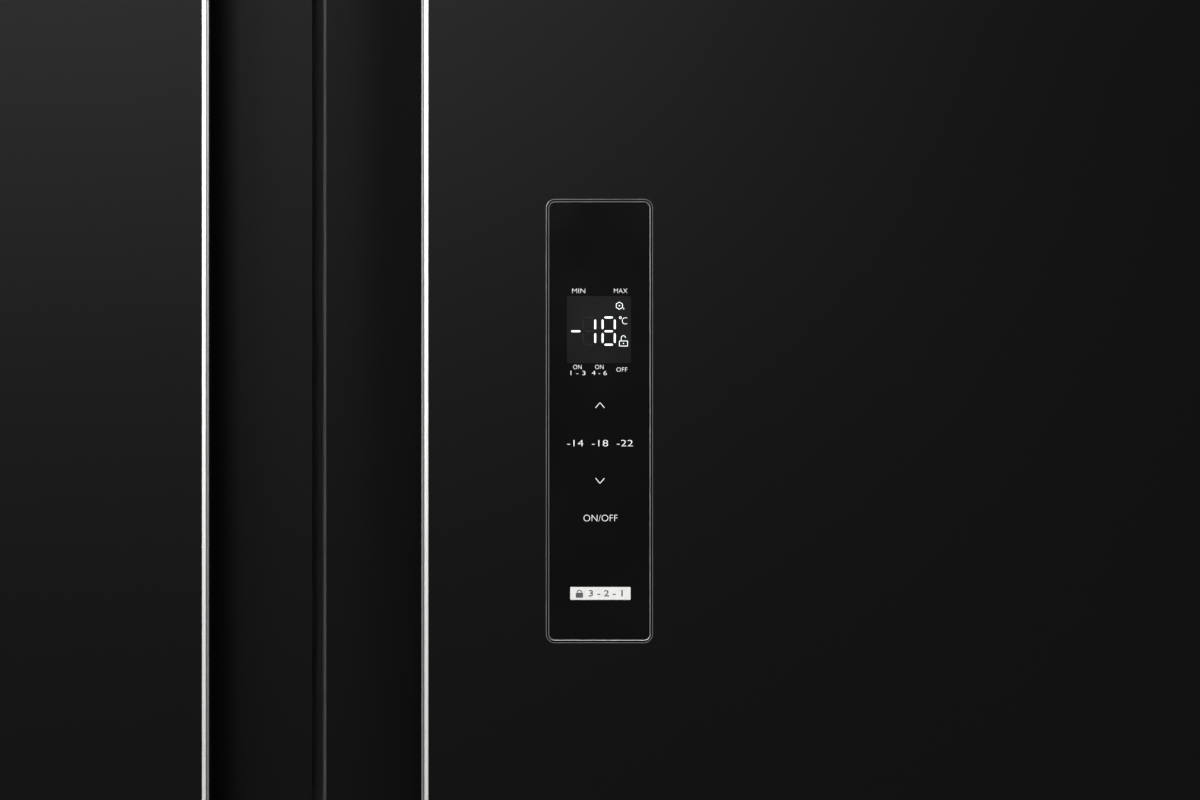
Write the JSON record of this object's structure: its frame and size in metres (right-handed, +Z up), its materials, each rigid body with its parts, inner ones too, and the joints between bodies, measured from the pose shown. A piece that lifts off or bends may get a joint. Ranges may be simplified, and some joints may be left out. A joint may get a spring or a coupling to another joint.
{
  "type": "side-by-side refrigerator",
  "caption": "Free-standing side-by-side fridge-freezer with two full-height doors, scooped edge handles, bright lip strips and a flush touch display, with shelves, drawers and cooling inside.",
  "frame": {"origin": "on the floor, under the middle of the outer box", "axes": "+X to the right seen from the front, +Y to the back, +Z up; the doors face -Y"},
  "size_m": [0.905, 0.7, 1.775],
  "materials": {
    "door_black": "satin black powder coat",
    "cabinet_paint": "satin dark grey paint",
    "black_plastic": "fine moulded grain",
    "gloss_black": "polished",
    "bright_trim": "bright",
    "galvanised": "galvanised",
    "zinc_steel": "zinc plated",
    "white_plastic": "satin white liner",
    "foam": "rigid polyurethane foam",
    "gasket_rubber": "soft seal",
    "clear_plastic": "clear moulded",
    "shelf_glass": "polished tempered glass",
    "shelf_trim": "satin grey",
    "lamp_lens": "frosted",
    "compressor_black": "semi-gloss black",
    "mount_rubber": "matt",
    "copper": "drawn copper",
    "fin_aluminium": "mill finish",
    "circuit_board": "solder mask",
    "ice_plastic": "translucent blue",
    "wheel_nylon": "moulded nylon"
  },
  "bodies": {
    "cabinet": {"outer_wrapper": "cabinet_paint", "rear_panel": "galvanised", "base_pan": "galvanised", "cabinet_insulation": "foam", "freezer_liner": "white_plastic", "fridge_liner": "white_plastic", "mullion_strip": "cabinet_paint", "toe_grille": "black_plastic", "rear_grille": "galvanised", "compressor": "compressor_black", "compressor_mounts": "mount_rubber", "condenser_coil": "compressor_black", "condenser_fan_frame": "black_plastic", "drain_pan": "black_plastic", "refrigerant_lines": "copper", "evaporator_coil": "fin_aluminium", "evaporator_cover": "white_plastic", "evaporator_fan_motor": "black_plastic", "fridge_air_duct": "white_plastic", "shelf_glass": "shelf_glass", "shelf_trims": "shelf_trim", "interior_lamps": "lamp_lens", "top_hinges": "zinc_steel", "hinge_covers": "black_plastic", "bottom_hinges": "zinc_steel", "hinge_screws": "zinc_steel", "rear_spacers": "black_plastic", "cord_gland": "black_plastic", "ice_maker_frame": "white_plastic"},
    "freezer_door": {"freezer_door_skin": "door_black", "freezer_door_caps": "black_plastic", "freezer_door_foam": "foam", "freezer_door_liner": "white_plastic", "freezer_handle_channel": "black_plastic", "freezer_edge_trim": "bright_trim", "freezer_door_gasket": "gasket_rubber", "freezer_door_bins": "clear_plastic"},
    "fridge_door": {"panel_bezel": "gloss_black", "panel_lens": "gloss_black", "display_board": "circuit_board", "panel_housing": "black_plastic", "fridge_door_skin": "door_black", "fridge_door_caps": "black_plastic", "fridge_door_foam": "foam", "fridge_door_liner": "white_plastic", "fridge_handle_channel": "black_plastic", "fridge_edge_trim": "bright_trim", "fridge_door_gasket": "gasket_rubber", "fridge_door_bins": "clear_plastic"},
    "condenser_fan": {"condenser_fan": "black_plastic"},
    "evaporator_fan": {"evaporator_fan": "white_plastic"},
    "crisper_upper": {"crisper_upper": "clear_plastic"},
    "crisper_lower": {"crisper_lower": "clear_plastic"},
    "freezer_drawer_upper": {"freezer_drawer_upper": "clear_plastic"},
    "freezer_drawer_lower": {"freezer_drawer_lower": "clear_plastic"},
    "ice_tray": {"ice_tray": "ice_plastic"},
    "foot_left": {"foot_left": "black_plastic"},
    "foot_right": {"foot_right": "black_plastic"},
    "roller_left": {"roller_left": "wheel_nylon"},
    "roller_right": {"roller_right": "wheel_nylon"}
  },
  "joints": [
    {"name": "freezer_door_hinge", "type": "hinge", "parent": "cabinet", "child": "freezer_door", "pos_m": [-0.4325, -0.31, 0.9045], "axis": [0, 0, -1], "range_deg": [0, 120]},
    {"name": "fridge_door_hinge", "type": "hinge", "parent": "cabinet", "child": "fridge_door", "pos_m": [0.4325, -0.31, 0.9045], "axis": [0, 0, 1], "range_deg": [0, 120]},
    {"name": "freezer_drawer_upper_slide", "type": "slide", "parent": "cabinet", "child": "freezer_drawer_upper", "axis": [0, -1, 0], "range_m": [0, 0.2]},
    {"name": "freezer_drawer_lower_slide", "type": "slide", "parent": "cabinet", "child": "freezer_drawer_lower", "axis": [0, -1, 0], "range_m": [0, 0.2]},
    {"name": "crisper_upper_slide", "type": "slide", "parent": "cabinet", "child": "crisper_upper", "axis": [0, -1, 0], "range_m": [0, 0.2]},
    {"name": "crisper_lower_slide", "type": "slide", "parent": "cabinet", "child": "crisper_lower", "axis": [0, -1, 0], "range_m": [0, 0.2]},
    {"name": "ice_tray_twist", "type": "hinge", "parent": "cabinet", "child": "ice_tray", "pos_m": [-0.2485, -0.02, 1.615], "axis": [1, 0, 0], "range_deg": [0, 150]},
    {"name": "condenser_fan_spin", "type": "hinge", "parent": "cabinet", "child": "condenser_fan", "pos_m": [-0.092, 0.228, 0.1155], "axis": [1, 0, 0], "continuous": true},
    {"name": "evaporator_fan_spin", "type": "hinge", "parent": "cabinet", "child": "evaporator_fan", "pos_m": [-0.24, 0.232, 1.197], "axis": [0, 1, 0], "continuous": true},
    {"name": "roller_left_spin", "type": "hinge", "parent": "cabinet", "child": "roller_left", "pos_m": [-0.3825, 0.288, 0.024], "axis": [1, 0, 0], "continuous": true},
    {"name": "foot_left_turn", "type": "hinge", "parent": "cabinet", "child": "foot_left", "pos_m": [-0.3775, -0.233, 0], "axis": [0, 0, 1], "continuous": true},
    {"name": "roller_right_spin", "type": "hinge", "parent": "cabinet", "child": "roller_right", "pos_m": [0.3825, 0.288, 0.024], "axis": [1, 0, 0], "continuous": true},
    {"name": "foot_right_turn", "type": "hinge", "parent": "cabinet", "child": "foot_right", "pos_m": [0.3775, -0.233, 0], "axis": [0, 0, 1], "continuous": true}
  ],
  "couplings": [
    {"joint": "freezer_drawer_upper_slide", "follows": "freezer_door_hinge", "m_per_rad": 0.0954},
    {"joint": "freezer_drawer_lower_slide", "follows": "freezer_door_hinge", "m_per_rad": 0.0954},
    {"joint": "crisper_upper_slide", "follows": "fridge_door_hinge", "m_per_rad": 0.0954},
    {"joint": "crisper_lower_slide", "follows": "fridge_door_hinge", "m_per_rad": 0.0954}
  ]
}
